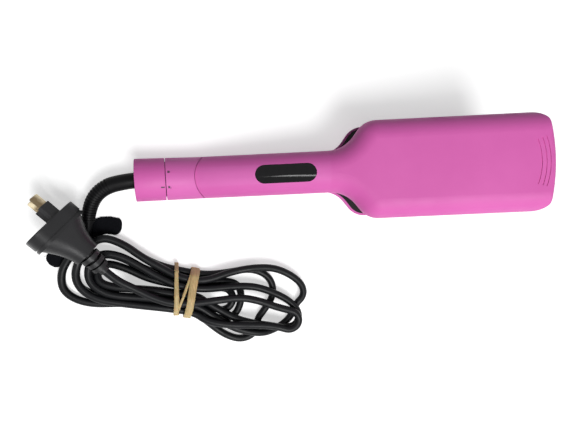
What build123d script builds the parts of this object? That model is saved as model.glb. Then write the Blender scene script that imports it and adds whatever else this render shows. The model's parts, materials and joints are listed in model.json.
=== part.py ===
"""Hair straightener with floating plates, a turning lock ring and a tied mains cord.

Everything is drawn first in the closed, straight pose: X runs from the collar at the
tail (0) to the tip, Y is across, Z is up and Z = 0 is the plane where the arms meet.
The lower arm and the tail are then set down on the table, and the upper arm is turned
open about the hinge pin. The cord is drawn straight in table coordinates.
"""
from math import acos, asin, atan2, cos, degrees, hypot, pi, radians, sin, sqrt, tan
import os

from build123d import *

os.makedirs("parts", exist_ok=True)

# Sizes of the outside, in millimetres
HANDLE_LONG = 147.0
SHOULDER_LONG = 14.9
HEAD_LONG = 126.6
HANDLE_R = 14.8
HEAD_HALF = 34.5
NECK_X = HANDLE_LONG
SHOULDER_X = NECK_X + SHOULDER_LONG
LENGTH = SHOULDER_X + HEAD_LONG
NECK_FILLET = 22.5
SHOULDER_FILLET = 16.0
SIDE_ROUND = HANDLE_R - 0.8
TIP_BULGE = 4.6
TIP_CORNER = 12.0
TIP_EDGE_ROUND = 4.0
WALL = 1.6

# Clearances
FIT = 0.05
RUN = 0.3
SEAT = 0.15
PRESS = 0.01

# Hinge and rest pose
HINGE_X = 46.5
OPEN_ANGLE = 16.0
PIN_R = 2.0
KNUCKLE_R = 4.4
KNUCKLE_HALF = 6.7
CHEEK_IN = 7.0
CHEEK_OUT = 10.0

# Tail: ring, core and covers
RING_START = 0.15
RING_END = 20.15
COVER_START = 20.6
COVER_IN = HANDLE_R - 1.2
CORE_R = HANDLE_R - 2.7
CORE_BORE = CORE_R - 2.6
SADDLE_OUT = HANDLE_R - WALL - 0.1
SADDLE_IN = SADDLE_OUT - 1.6
SEAM_CENTRE_X = HINGE_X + 11.8
SEAM_R = 19.0
SEAM_GAP = 0.4
RING_TRAVEL = 40.5
BOLT_TRAVEL = 3.0

# Rims, liners and plates, as heights from the middle plane
RIM = 1.0
REAR_RIM = 2.0
RIM_STEP_X = HINGE_X + 3.5
FRAME_FACE = 1.4
FRAME_BACK = 3.2
FRAME_START = HINGE_X + 7.5
PLATE_START = SHOULDER_X + 8.1
PLATE_END = LENGTH - 9.0
PLATE_HALF = HEAD_HALF - 8.5
PLATE_FACE = 0.1
FLANGE_FACE = FRAME_BACK + RUN
PLATE_BACK = 4.7
FLANGE_OVER = 1.1
HEATER_BACK = 7.0
CLAMP_BACK = 7.7
FLOAT_TRAVEL = 0.8
HEATER_START = PLATE_START + 8.0
HEATER_END = PLATE_END - 7.5
HEATER_HALF = PLATE_HALF - 6.0

# Display and buttons
REAR_SCREW_X = HINGE_X + 24.0
WINDOW_X = (REAR_SCREW_X + NECK_X) / 2 - 2.75
WINDOW_LONG = 42.2
WINDOW_WIDE = 12.8
BOARD_LOW = HANDLE_R - 7.2
BOARD_THICK = 1.6
BOARD_HIGH = BOARD_LOW + BOARD_THICK
BOARD_START = REAR_SCREW_X + 9.5
BOARD_END = NECK_X - 9.0
BOARD_HALF = HANDLE_R - 6.2
BUTTONS = {"power": WINDOW_X - 10.0, "plus": WINDOW_X + 4.0, "minus": WINDOW_X + 14.0}
BUTTON_R = 3.0
BUTTON_FACE = 0.9
SWITCH_FACE = BOARD_LOW - 1.5
POWER_FACE = 7.6
BUTTON_TRAVEL = 0.45

# Cord
CORD_D = 5.0
CORD_R = CORD_D / 2
GUARD_R = 5.5
GUARD_END_R = 4.4
PITCH = 5.7


def corner(before, point, after, radius):
    """End points and middle of the arc that rounds one corner of an outline."""
    to_before = (before - point).normalized()
    to_after = (after - point).normalized()
    half = acos(max(-1.0, min(1.0, to_before.dot(to_after)))) / 2
    start = point + to_before * (radius / tan(half))
    end = point + to_after * (radius / tan(half))
    inward = (to_before + to_after).normalized()
    middle = point + inward * (radius / sin(half) - radius)
    return start, middle, end


def rounded_face(corners):
    """Flat face from a list of (x, y, radius) corners in order."""
    points = [Vector(x, y, 0) for x, y, radius in corners]
    count = len(points)
    arcs = []
    for i, (x, y, radius) in enumerate(corners):
        if radius > 0:
            arcs.append(corner(points[i - 1], points[i], points[(i + 1) % count], radius))
        else:
            arcs.append((points[i], None, points[i]))
    edges = []
    for i in range(count):
        start, middle, end = arcs[i]
        if middle is not None:
            edges.append(ThreePointArc(start, middle, end))
        following = arcs[(i + 1) % count][0]
        if (following - end).length > 1e-6:
            edges.append(Line(end, following))
    return make_face(edges)


def block(x0, x1, y0, y1, z0, z1):
    """Box between two opposite corners."""
    return Pos((x0 + x1) / 2, (y0 + y1) / 2, (z0 + z1) / 2) * Box(x1 - x0, y1 - y0, z1 - z0)


def rod_x(radius, x0, x1, y=0.0, z=0.0):
    """Cylinder along X."""
    return Pos((x0 + x1) / 2, y, z) * Rot(0, 90, 0) * Cylinder(radius, x1 - x0)


def rod_y(radius, y0, y1, x=0.0, z=0.0):
    """Cylinder along Y."""
    return Pos(x, (y0 + y1) / 2, z) * Rot(90, 0, 0) * Cylinder(radius, y1 - y0)


def rod_z(radius, z0, z1, x=0.0, y=0.0):
    """Cylinder along Z."""
    return Pos(x, y, (z0 + z1) / 2) * Cylinder(radius, z1 - z0)


def plan_corners(inset, start, end):
    """Corners of an arm seen from above, drawn in by inset, with a square far end."""
    handle = HANDLE_R - inset
    head = HEAD_HALF - inset
    slope = atan2(HEAD_HALF - HANDLE_R, SHOULDER_X - NECK_X)
    shift = inset * tan(slope / 2)
    neck = NECK_X + shift
    shoulder = SHOULDER_X + shift
    upper = [
        (neck, handle, NECK_FILLET + inset),
        (shoulder, head, SHOULDER_FILLET - inset),
        (end, head, 0),
    ]
    lower = [(x, -y, radius) for x, y, radius in reversed(upper)]
    return [(start, -handle, 0), (start, handle, 0)] + upper + lower


def tip_face(inset, start):
    """Everything behind the bulging end of the tip, drawn in by inset."""
    half = HEAD_HALF - inset
    end = LENGTH - inset
    back = end - TIP_BULGE
    radius = (half * half + TIP_BULGE * TIP_BULGE) / (2 * TIP_BULGE)
    centre_x = end - radius
    rounding = TIP_CORNER - inset
    centre_y = half - rounding
    meet_x = centre_x + sqrt((radius - rounding) ** 2 - centre_y ** 2)
    reach = radius / (radius - rounding)
    joint = Vector(centre_x + (meet_x - centre_x) * reach, centre_y * reach)
    turn = atan2(centre_y, meet_x - centre_x)
    middle_angle = (turn + pi / 2) / 2
    middle = Vector(meet_x + rounding * cos(middle_angle), centre_y + rounding * sin(middle_angle))
    side = Vector(meet_x, half)

    def flip(point):
        return Vector(point.X, -point.Y)

    edges = [
        Line(Vector(start, half), side),
        ThreePointArc(side, middle, joint),
        ThreePointArc(joint, Vector(end, 0), flip(joint)),
        ThreePointArc(flip(joint), flip(middle), flip(side)),
        Line(flip(side), Vector(start, -half)),
        Line(Vector(start, -half), Vector(start, half)),
    ]
    return make_face(edges)


def arm_form(inset, start=0.0):
    """Solid upper half of an arm, from its middle plane to its rounded back."""
    far = LENGTH + 20
    height = HANDLE_R - inset
    body = extrude(rounded_face(plan_corners(inset, start, far)), height)
    top = [
        edge for edge in body.edges()
        if abs(edge.center().Z - height) < 1e-3 and start + 0.5 < edge.center().X < far - 0.5
    ]
    body = fillet(top, SIDE_ROUND - inset)
    clip = extrude(tip_face(inset, start - 1), height)
    rim = [
        edge for edge in clip.edges()
        if abs(edge.center().Z - height) < 1e-3 and edge.center().X > LENGTH - 20
        and abs(edge.center().Y) < HEAD_HALF - 2
    ]
    clip = fillet(rim, TIP_EDGE_ROUND - inset)
    return body & clip


def tube_x(outer, inner, x0, x1):
    """Ring-shaped length along X."""
    return rod_x(outer, x0, x1) - rod_x(inner, x0 - 1, x1 + 1)


def flip_down(shape):
    """Mirror an upper piece to the lower arm."""
    return mirror(shape, about=Plane.XY)


def flip_all(shapes):
    """Mirror a list of upper pieces to the lower arm."""
    return [flip_down(shape) for shape in shapes]


def set_down(shape):
    """Lay the lower arm and tail on the table, with the length centred."""
    return Pos(-LENGTH / 2, 0, HANDLE_R) * shape


def opened(shape):
    """Turn a piece of the upper arm to its open rest pose."""
    return Pos(HINGE_X, 0, 0) * Rot(0, -OPEN_ANGLE, 0) * Pos(-HINGE_X, 0, 0) * shape


def closed(shape):
    """Turn a cutter that is drawn in the open pose back to the closed one."""
    return Pos(HINGE_X, 0, 0) * Rot(0, OPEN_ANGLE, 0) * Pos(-HINGE_X, 0, 0) * shape


def raise_arm(shape):
    """Open an upper piece and set it over the lower arm."""
    return set_down(opened(shape))


nodes = {}

outside = arm_form(0.0)
inside = arm_form(WALL, -1.0)
shell = outside - inside


# Bosses and screws shared by both arms
BOSS_R = 2.6
SCREW_R = 1.1
SCREW_HEAD_R = 2.1
SCREW_LENGTH = 6.0
SCREW_HEAD = 1.1
SCREW_HALF = HEAD_HALF - 4.5
SCREW_SPOTS = [(REAR_SCREW_X, 0.0), (NECK_X - 3.0, 0.0)]
for spot_x in (SHOULDER_X + 34.1, LENGTH - 36.5):
    SCREW_SPOTS += [(spot_x, SCREW_HALF), (spot_x, -SCREW_HALF)]


def bosses():
    """Screw posts that stand on the inside of a shell."""
    posts = []
    for x, y in SCREW_SPOTS:
        posts.append(rod_z(BOSS_R, FRAME_BACK, HANDLE_R, x, y) & outside)
    return posts


def pilot_holes():
    """Blind holes for the screws in the posts."""
    return [rod_z(SCREW_R, 0, FRAME_FACE + SCREW_LENGTH + 0.4, x, y) for x, y in SCREW_SPOTS]


def screws():
    """Countersunk screws through the liner into the posts."""
    pieces = []
    for x, y in SCREW_SPOTS:
        head = Pos(x, y, FRAME_FACE + SCREW_HEAD / 2) * Rot(180, 0, 0) * Cone(
            SCREW_R, SCREW_HEAD_R, SCREW_HEAD)
        shank = rod_z(SCREW_R, FRAME_FACE + SCREW_HEAD, FRAME_FACE + SCREW_LENGTH, x, y)
        slot = block(x - 1.2, x + 1.2, y - 0.2, y + 0.2, FRAME_FACE - 0.1, FRAME_FACE + 0.5)
        cross = block(x - 0.2, x + 0.2, y - 1.2, y + 1.2, FRAME_FACE - 0.1, FRAME_FACE + 0.5)
        pieces.append(head + shank - slot - cross)
    return pieces


# Shells
rim_cut_front = block(RIM_STEP_X, LENGTH + 5, -50, 50, -5, RIM)
lower_shell = flip_down(shell - rim_cut_front + bosses() - pilot_holes())
lower_shell = lower_shell - block(-5, COVER_START, -50, 50, -50, 50)

seam_column = rod_z(SEAM_R - SEAM_GAP, -40, 40, SEAM_CENTRE_X)
seam_keep = closed(seam_column + block(SEAM_CENTRE_X, LENGTH + 60, -50, 50, -60, 150))
rear_collar = tube_x(HANDLE_R, CORE_R, HINGE_X - 12, RIM_STEP_X + 1) & outside
upper_shell = (shell + rear_collar) & seam_keep
upper_shell = upper_shell - block(0, RIM_STEP_X, -50, 50, -5, REAR_RIM) - rim_cut_front
upper_shell = upper_shell + bosses() - pilot_holes()
skirt = Pos(HINGE_X, 0, 0) * (Sphere(COVER_IN - RUN) - Sphere(CORE_R))
skirt = skirt & block(HINGE_X - 10, RIM_STEP_X, -50, 50, REAR_RIM, 50)
upper_shell = upper_shell + skirt


def window_cut(gap):
    """Long round-ended prism for the display window."""
    outline = SlotOverall(WINDOW_LONG - 2 * gap, WINDOW_WIDE - 2 * gap)
    return Pos(WINDOW_X, 0, FRAME_BACK) * extrude(outline, HANDLE_R)


def tip_grooves():
    """Three bowed grooves across the back of the tip."""
    cuts = []
    for back, half in ((10.9, 15.0), (7.8, 16.0), (5.1, 16.7)):
        x = LENGTH - back
        bow = 2.8
        radius = (half * half + bow * bow) / (2 * bow)
        band = rod_z(radius + 0.45, HANDLE_R - 0.45, HANDLE_R + 1, x - radius)
        band = band - rod_z(radius - 0.45, HANDLE_R - 2, HANDLE_R + 2, x - radius)
        cuts.append(band & block(x - 10, x + 5, -half, half, 0, 50))
    return cuts


upper_shell = upper_shell - window_cut(0) - tip_grooves()
display_window = (shell & window_cut(SEAT)) - tip_grooves()
rear_cover = tube_x(HANDLE_R, COVER_IN, COVER_START, SEAM_CENTRE_X)
rear_cover = rear_cover & block(0, SEAM_CENTRE_X, -20, 20, 0, 20)
rear_cover = rear_cover - rod_z(SEAM_R, -40, 40, SEAM_CENTRE_X)
nodes["lower_shell"] = set_down(lower_shell)


def padlock(open_shackle):
    """Small padlock outline, drawn flat, one millimetre and a half wide."""
    body = Pos(0, -0.55) * Rectangle(1.7, 1.2)
    arch = Pos(0, 0.05) * (Circle(0.62) - Circle(0.36)) & Pos(0, 0.75) * Rectangle(2, 1.4)
    if open_shackle:
        arch = Pos(0.62, 0.15) * arch
    return body + arch


def inlay(sketch, x, angle, outer, depth):
    """Press a flat sketch into a round surface at an angle from the top."""
    turned = Rot(0, 0, -90) * sketch
    prism = Pos(x, 0, 0) * extrude(turned, outer + 1)
    return Rot(angle, 0, 0) * prism & tube_x(outer, outer - depth, x - 4, x + 4)


ICON_X = 22.9
OPEN_ICON = 23.0
SHUT_ICON = -17.5
icons = inlay(padlock(True), ICON_X, OPEN_ICON, HANDLE_R, 0.3)
icons = icons + inlay(padlock(False), ICON_X, SHUT_ICON, HANDLE_R, 0.3)
rear_cover = rear_cover - icons
nodes["rear_cover"] = set_down(rear_cover)
nodes["lock_icons"] = set_down(icons)

# Tail frame: core tube, bulkhead, saddle, cheeks and bolt guide
DRUM_START = 2.3
DRUM_END = 10.2
CAP_END = 2.0
CAP_R = CORE_R + 0.8
PEG_R = 1.5
PEG_X = 14.9
BOLT_HALF = 2.5
BOLT_LOW = -0.45
BOLT_HIGH = 0.65
BOLT_START = 13.0
BOLT_END = HINGE_X - 13.3
PEG_TOP = CORE_R + 1.5

core = tube_x(CORE_R, CORE_BORE, CAP_END, 24.0)
bulkhead = rod_x(CORE_BORE, DRUM_END + FIT, DRUM_END + 1.8) - rod_x(3.2, 0, 20)
saddle = tube_x(SADDLE_OUT, SADDLE_IN, RING_END + RUN, HINGE_X + 4.5) & block(0, 60, -20, 20, -20, -0.4)
guide_keel = block(22.0, 31.0, -4.5, 4.5, -SADDLE_IN - 0.5, 2.2)
guide_slot = block(0, 40, -BOLT_HALF - 0.2, BOLT_HALF + 0.2, BOLT_LOW - 0.2, BOLT_HIGH + 0.2)
tail_frame = core + bulkhead + saddle + guide_keel - guide_slot
for side in (1, -1):
    y0, y1 = sorted((side * CHEEK_IN, side * CHEEK_OUT))
    cheek = rod_y(KNUCKLE_R, y0, y1, HINGE_X)
    cheek = cheek + block(HINGE_X - KNUCKLE_R, HINGE_X + KNUCKLE_R, y0, y1, -SADDLE_IN, 0)
    tail_frame = tail_frame + (cheek & rod_x(SADDLE_IN + 0.3, 0, 60))
tail_frame = tail_frame - rod_y(PIN_R + PRESS, -20, 20, HINGE_X)
peg_slot = block(PEG_X - PEG_R - RUN, PEG_X + BOLT_TRAVEL + PEG_R + RUN, -PEG_R - RUN, PEG_R + RUN, 5, 14)
tail_frame = tail_frame - peg_slot
nodes["tail_frame"] = set_down(tail_frame)

hinge_pin = rod_y(PIN_R, -CHEEK_OUT, CHEEK_OUT, HINGE_X)
nodes["hinge_pin"] = set_down(hinge_pin)

bolt = block(BOLT_START, BOLT_END, -BOLT_HALF, BOLT_HALF, BOLT_LOW, BOLT_HIGH)
bolt = bolt + rod_z(PEG_R, 0, PEG_TOP, PEG_X)
nodes["lock_bolt"] = set_down(bolt)

# Lock ring with its inner helical groove
ring = tube_x(HANDLE_R, CORE_R + 0.08, RING_START, RING_END)
ring = ring - rod_x(CAP_R + 0.2, -1, CAP_END + 0.2)
ring_edges = [
    edge for edge in ring.edges()
    if edge.geom_type == GeomType.CIRCLE and abs(edge.radius - HANDLE_R) < 1e-3
]
ring = fillet(ring_edges, 0.35)
GROOVE_STEPS = 10
for step in range(GROOVE_STEPS + 1):
    share = step / GROOVE_STEPS
    spot = rod_z(PEG_R + RUN, CORE_R - 0.5, PEG_TOP + 0.2, PEG_X + BOLT_TRAVEL * share)
    ring = ring - Rot(RING_TRAVEL * share, 0, 0) * spot
tick = inlay(Rectangle(0.9, 2.4), RING_END - 1.9, OPEN_ICON, HANDLE_R, 0.3)
ring = ring - tick
nodes["lock_ring"] = set_down(ring)
nodes["index_mark"] = set_down(tick)

tail_cap = tube_x(CAP_R, GUARD_R + 0.4, 0, CAP_END)
nodes["tail_cap"] = set_down(tail_cap)
nodes["cord_swivel"] = set_down(rod_x(CORE_BORE - FIT, DRUM_START, DRUM_END))

# Liners
opening = block(
    PLATE_START - RUN, PLATE_END + RUN, -PLATE_HALF - RUN, PLATE_HALF + RUN, -5, 5)
liner = arm_form(WALL + SEAT, FRAME_START) & block(0, 400, -50, 50, FRAME_FACE, FRAME_BACK)
liner = liner - opening
for spot_x, spot_y in SCREW_SPOTS:
    liner = liner - rod_z(SCREW_R + FIT, 0, 5, spot_x, spot_y)
    liner = liner - Pos(spot_x, spot_y, FRAME_FACE + SCREW_HEAD / 2) * Rot(180, 0, 0) * Cone(
        SCREW_R + FIT, SCREW_HEAD_R + FIT, SCREW_HEAD)

SPRING_X = HINGE_X + 14.8
SPRING_R = 3.5
SPRING_WIRE = 1.0
SPRING_TURNS = 6
SPRING_TOP = 3.9
WELL_R = 4.6
WELL_OUT = 5.8
WELL_FLOOR = 4.6 - HANDLE_R
SPRING_LOW = WELL_FLOOR + 1.2

lower_liner = flip_down(liner) - rod_z(WELL_R, -20, 5, SPRING_X)
well = rod_z(WELL_OUT, WELL_FLOOR, -FRAME_FACE, SPRING_X) - rod_z(WELL_R, SPRING_LOW, 0, SPRING_X)
lower_liner = lower_liner + well
nodes["lower_frame"] = set_down(lower_liner)

knuckle = rod_y(KNUCKLE_R, -KNUCKLE_HALF, KNUCKLE_HALF, HINGE_X)
knuckle = knuckle + block(HINGE_X, FRAME_START + 6, -KNUCKLE_HALF, KNUCKLE_HALF, FRAME_FACE, KNUCKLE_R)
TAB_END = HINGE_X - 12.3
TAB_LOW = 1.0
TAB_HIGH = 2.2
tab = block(TAB_END, HINGE_X, -BOLT_HALF, BOLT_HALF, TAB_LOW, TAB_HIGH)
tab = tab + block(HINGE_X - 8, HINGE_X, -1.0, 1.0, TAB_LOW, KNUCKLE_R - 0.6)
upper_liner = liner + knuckle + tab - rod_y(PIN_R + FIT, -20, 20, HINGE_X)
for x in (BOARD_START + 2.0, BOARD_END - 2.0):
    for y in (-6.0, 6.0):
        upper_liner = upper_liner + rod_z(1.6, FRAME_FACE, BOARD_LOW, x, y)
for x in BUTTONS.values():
    upper_liner = upper_liner - rod_z(BUTTON_R + RUN, -5, 5, x)
nodes["upper_frame"] = raise_arm(upper_liner)

coil_path = Helix(
    pitch=(SPRING_TOP - SPRING_LOW - SPRING_WIRE) / SPRING_TURNS,
    height=SPRING_TOP - SPRING_LOW - SPRING_WIRE,
    radius=SPRING_R,
)
coil = sweep(Plane(coil_path @ 0, z_dir=coil_path % 0) * Circle(SPRING_WIRE / 2), path=coil_path)
nodes["hinge_spring"] = set_down(Pos(SPRING_X, 0, SPRING_LOW + SPRING_WIRE / 2) * coil)

# Plates, heaters and what presses them outwards
plate = block(PLATE_START, PLATE_END, -PLATE_HALF, PLATE_HALF, PLATE_FACE, PLATE_BACK)
face_edges = [edge for edge in plate.edges() if abs(edge.center().Z - PLATE_FACE) < 1e-3]
plate = fillet(face_edges, 0.8)
plate = plate + block(
    PLATE_START - FLANGE_OVER, PLATE_END + FLANGE_OVER,
    -PLATE_HALF - FLANGE_OVER, PLATE_HALF + FLANGE_OVER, FLANGE_FACE, PLATE_BACK)
heater = block(HEATER_START, HEATER_END, -HEATER_HALF, HEATER_HALF, PLATE_BACK, HEATER_BACK)
clamp = block(HEATER_START, HEATER_END, -HEATER_HALF, HEATER_HALF, HEATER_BACK, CLAMP_BACK)
for x in (HEATER_START + 2.5, HEATER_END - 2.5):
    for y in (-HEATER_HALF + 3, HEATER_HALF - 3):
        clamp = clamp - rod_z(1.2, 0, 20, x, y)
CUSHION_TOP = HANDLE_R - WALL - FLOAT_TRAVEL - 0.05
cushions = []
for x in (HEATER_START + 18, HEATER_END - 18):
    for y in (-11.0, 11.0):
        cushions.append(Pos(x, y, (CLAMP_BACK + CUSHION_TOP) / 2) * Cone(
            4.5, 3.0, CUSHION_TOP - CLAMP_BACK))

for name, shape in (("plate", plate), ("heater", heater), ("heater_clamp", clamp)):
    nodes["upper_" + name] = raise_arm(shape)
    nodes["lower_" + name] = set_down(flip_down(shape))
for name, shapes in (("cushions", cushions), ("screws", screws())):
    nodes["upper_" + name] = raise_arm(Compound(shapes))
    nodes["lower_" + name] = set_down(Compound(flip_all(shapes)))

# Small heater parts: a fuse on the lower clamp and a sensor on the upper one
FUSE_X = (HEATER_START + HEATER_END) / 2
FUSE_R = 1.4
fuse = rod_x(FUSE_R, FUSE_X - 5.5, FUSE_X + 5.5, 0, CLAMP_BACK + FUSE_R)
fuse = fuse + rod_x(0.5, FUSE_X - 9.5, FUSE_X + 9.5, 0, CLAMP_BACK + FUSE_R)
nodes["thermal_fuse"] = set_down(flip_down(fuse))
sensor = block(FUSE_X - 3, FUSE_X + 3, -2, 2, CLAMP_BACK, CLAMP_BACK + 1.8)
nodes["heat_sensor"] = raise_arm(sensor)

# Display, board, switches and buttons
MODULE_HALF = WINDOW_LONG / 2 - 2.1
module = block(
    WINDOW_X - MODULE_HALF, WINDOW_X + MODULE_HALF, -4.6, 4.6, BOARD_HIGH + 0.4, BOARD_HIGH + 3.0)
nodes["display_module"] = raise_arm(module)
board = block(BOARD_START, BOARD_END, -BOARD_HALF, BOARD_HALF, BOARD_LOW, BOARD_HIGH)
nodes["control_board"] = raise_arm(board)
small_parts = [block(x - 3, x + 3, -3, 3, SWITCH_FACE + 0.3, BOARD_LOW) for x in BUTTONS.values()]
small_parts = small_parts + [rod_z(1.1, SWITCH_FACE, BOARD_LOW, x) for x in BUTTONS.values()]
small_parts = small_parts + [
    block(BOARD_START + 5.5, BOARD_START + 12, 1, 7, BOARD_LOW - 1.4, BOARD_LOW),
    block(BOARD_END - 12, BOARD_END - 6, -4, 4, BOARD_LOW - 1.8, BOARD_LOW),
    block(WINDOW_X - 5, WINDOW_X - 1.5, -7, -4.6, BOARD_LOW - 1.2, BOARD_LOW),
]
components = small_parts[0]
for extra in small_parts[1:]:
    components = components + extra
nodes["board_parts"] = raise_arm(components)
nodes["display_window"] = raise_arm(display_window)
nodes["upper_shell"] = raise_arm(upper_shell)

for name, x in BUTTONS.items():
    button = rod_z(BUTTON_R, BUTTON_FACE, FRAME_BACK, x)
    button = fillet([edge for edge in button.edges() if abs(edge.center().Z - BUTTON_FACE) < 1e-3], 0.4)
    button = button + rod_z(BUTTON_R + 0.8, FRAME_BACK + 0.1, FRAME_BACK + 0.9, x)
    button = button + rod_z(BUTTON_R, FRAME_BACK - 0.1, FRAME_BACK + 0.2, x)
    button = button + rod_z(1.5, FRAME_BACK + 0.5, SWITCH_FACE - BUTTON_TRAVEL - FIT, x)
    nodes[name + "_button"] = raise_arm(button)

# Mains board in the lower handle
power_board = block(
    BOARD_START - 5, BOARD_END, -BOARD_HALF, BOARD_HALF, -POWER_FACE - BOARD_THICK, -POWER_FACE)
nodes["power_board"] = set_down(power_board)
PART_X = BOARD_START + 4.0
power_parts = rod_x(2.2, PART_X + 17, PART_X + 29, 4, -POWER_FACE + 2.2)
power_parts = power_parts + block(PART_X, PART_X + 12, -5, 5, -POWER_FACE, -3.8)
power_parts = power_parts + block(PART_X + 18, PART_X + 28, -7, -1, -POWER_FACE, -3.6)
power_parts = power_parts + block(BOARD_END - 18, BOARD_END - 10, -4, 4, -POWER_FACE, -4.4)
nodes["power_parts"] = set_down(power_parts)


# Cord: table coordinates measured from the tail end, moved with the rest at the end
TABLE_SHIFT = Vector(-LENGTH / 2, 0, 0)


def smooth_arc(start, heading, end):
    """Edge from start to end that leaves along heading, with its radius and turn."""
    chord = end - start
    across = chord - heading * chord.dot(heading)
    if across.length < 1e-6:
        return Line(start, end), 1e9, 0.0
    normal = across.normalized()
    radius = chord.dot(chord) / (2 * chord.dot(normal))
    turn = 2 * atan2(chord.dot(normal), chord.dot(heading))
    centre = start + normal * radius
    middle = centre + (normal * -cos(turn / 2) + heading * sin(turn / 2)) * radius
    return ThreePointArc(start, middle, end), radius, turn


def two_arcs(start, heading, end, arriving):
    """Two tangent arcs that leave start along heading and reach end along arriving."""
    chord = end - start
    both = heading + arriving
    a = 2 * (1 - heading.dot(arriving))
    b = 2 * chord.dot(both)
    c = -chord.dot(chord)
    if abs(a) < 1e-9:
        reach = -c / b
    else:
        reach = (-b + sqrt(b * b - 4 * a * c)) / (2 * a)
    first = start + heading * reach
    second = end - arriving * reach
    meeting = (first + second) * 0.5
    middle_way = (second - first).normalized()
    return [smooth_arc(start, heading, meeting), smooth_arc(meeting, middle_way, end)]


def route(stations):
    """Chain of tangent arcs through (point, heading) stations."""
    pieces = []
    for (start, heading), (end, arriving) in zip(stations, stations[1:]):
        pieces.extend(two_arcs(start, heading, end, arriving))
    return pieces


def section_on(pieces, radius):
    """Round wire of one radius swept along a chain of arcs, as one solid."""
    path = Wire([edge.edge() for edge, bend, turn in pieces])
    start = path @ 0
    return sweep(Plane(start, z_dir=path % 0) * Circle(radius), path=path), path.length


# Hank: two layers of loops drawn in at a waist, in coordinates turned to lie along it
WAIST = Vector(31.0, -82.5, 0)
WAIST_TURN = -20.0
WAIST_HALF = 10.0
SLOTS = [0.5 * PITCH, 1.5 * PITCH, 2.5 * PITCH]
LAYER = [CORD_R + 0.05, CORD_R + 5.85, CORD_R + 11.65]
BAND_LIFT = 1.3
AT_WAIST = [height + BAND_LIFT for height in LAYER]
RIGHT_LOW = (41.5, 0.0)
RIGHT_LOW_R = [16.0, 16.0 + PITCH, 16.0 + 2 * PITCH]
RIGHT_TOP = (62.0, 6.0)
RIGHT_TOP_R = [14.2, 14.2 + PITCH, 14.2 + 2 * PITCH]
LEFT_X = -52.0
LEFT_LOW = (LEFT_X, PITCH / 2)
LEFT_TOP = (LEFT_X, -PITCH / 2)
LEFT_R = [13.0, 13.0 + PITCH, 13.0 + 2 * PITCH, 13.0 + 3 * PITCH]


def on_table(u, v, z):
    """Point given along and across the hank, put on the table."""
    turn = radians(WAIST_TURN)
    return Vector(
        WAIST.X + u * cos(turn) - v * sin(turn),
        WAIST.Y + u * sin(turn) + v * cos(turn),
        z,
    )


def way(u, v, rise=0.0):
    """Unit heading given along and across the hank."""
    turn = radians(WAIST_TURN)
    return Vector(u * cos(turn) - v * sin(turn), u * sin(turn) + v * cos(turn), rise).normalized()


def station(u, v, z, heading_u, heading_v, rise=0.0):
    """One point of the cord's route with its heading."""
    return on_table(u, v, z), way(heading_u, heading_v, rise)


def on_loop(centre, radius, angle, z, rise=0.0):
    """Station on a loop that turns leftwards round its centre."""
    a = radians(angle)
    return station(
        centre[0] + radius * cos(a), centre[1] + radius * sin(a), z, -sin(a), cos(a), rise)


def flank_turn(centre, radius, v, above):
    """Angle that a strand turns through between the straight waist and its loop."""
    height = v - centre[1] if above else centre[1] - v
    run = abs(centre[0]) - WAIST_HALF
    bend = (run * run + height * height - radius * radius) / (2 * (radius - height))
    return degrees(atan2(run, height + bend))


def loop(centre, radius, v_in, v_out, level, level_out=None):
    """Stations of one loop at a level: out of the waist, round, and back to it."""
    right = centre[0] > 0
    side = 1 if right else -1
    leave = AT_WAIST[level]
    arrive = AT_WAIST[level if level_out is None else level_out]
    turn_in = flank_turn(centre, radius, v_in, not right)
    turn_out = flank_turn(centre, radius, v_out, right)
    base = 0 if right else 180
    first = base - 90 - turn_in
    last = base + 90 + turn_out
    stations = [station(side * WAIST_HALF, v_in, leave, side, 0)]
    for step in range(4):
        angle = first + (last - first) * step / 3
        stations.append(on_loop(centre, radius, angle, LAYER[level]))
    stations.append(station(side * WAIST_HALF, v_out, arrive, -side, 0))
    return stations


def climbing_loop():
    """Inner left loop that rises from the first layer to the second at its far end."""
    low, high = LAYER[0], LAYER[1]
    rise = high - low
    radius = LEFT_R[0]
    turn = flank_turn(LEFT_LOW, radius, SLOTS[0], True)
    return [
        station(-WAIST_HALF, SLOTS[0], AT_WAIST[0], -1, 0),
        on_loop(LEFT_LOW, radius, 90 - turn, low),
        on_loop(LEFT_LOW, radius, 112, low),
        on_loop(LEFT_LOW, radius, 150, low + 0.13 * rise, 0.16),
        station(LEFT_X - radius, 0, low + 0.5 * rise, 0, -1, 0.27),
        on_loop(LEFT_TOP, radius, 210, low + 0.87 * rise, 0.16),
        on_loop(LEFT_TOP, radius, 248, high),
        on_loop(LEFT_TOP, radius, 270 + turn, high),
        station(-WAIST_HALF, -SLOTS[0], AT_WAIST[1], 1, 0),
    ]


def last_loop():
    """Outer right loop that rises to the top and comes back across the waist."""
    radius = RIGHT_TOP_R[2]
    turn = flank_turn(RIGHT_TOP, radius, -SLOTS[2], False)
    tight = 14.0
    inner = (RIGHT_TOP[0] + radius - tight, RIGHT_TOP[1])
    middle = (LAYER[1] + LAYER[2]) / 2
    return [
        station(WAIST_HALF, -SLOTS[2], AT_WAIST[1], 1, 0),
        on_loop(RIGHT_TOP, radius, -90 - turn, LAYER[1]),
        on_loop(RIGHT_TOP, radius, -65, LAYER[1]),
        on_loop(RIGHT_TOP, radius, -33, middle, 0.25),
        on_loop(RIGHT_TOP, radius, 0, LAYER[2]),
        on_loop(inner, tight, 50, LAYER[2]),
        on_loop(inner, tight, 105, LAYER[2]),
        station(14.0, 3.0, AT_WAIST[2], -24.0, -9.5, 0.3),
        station(-12.0, -6.5, AT_WAIST[2], -1.0, -0.1),
    ]


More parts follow.
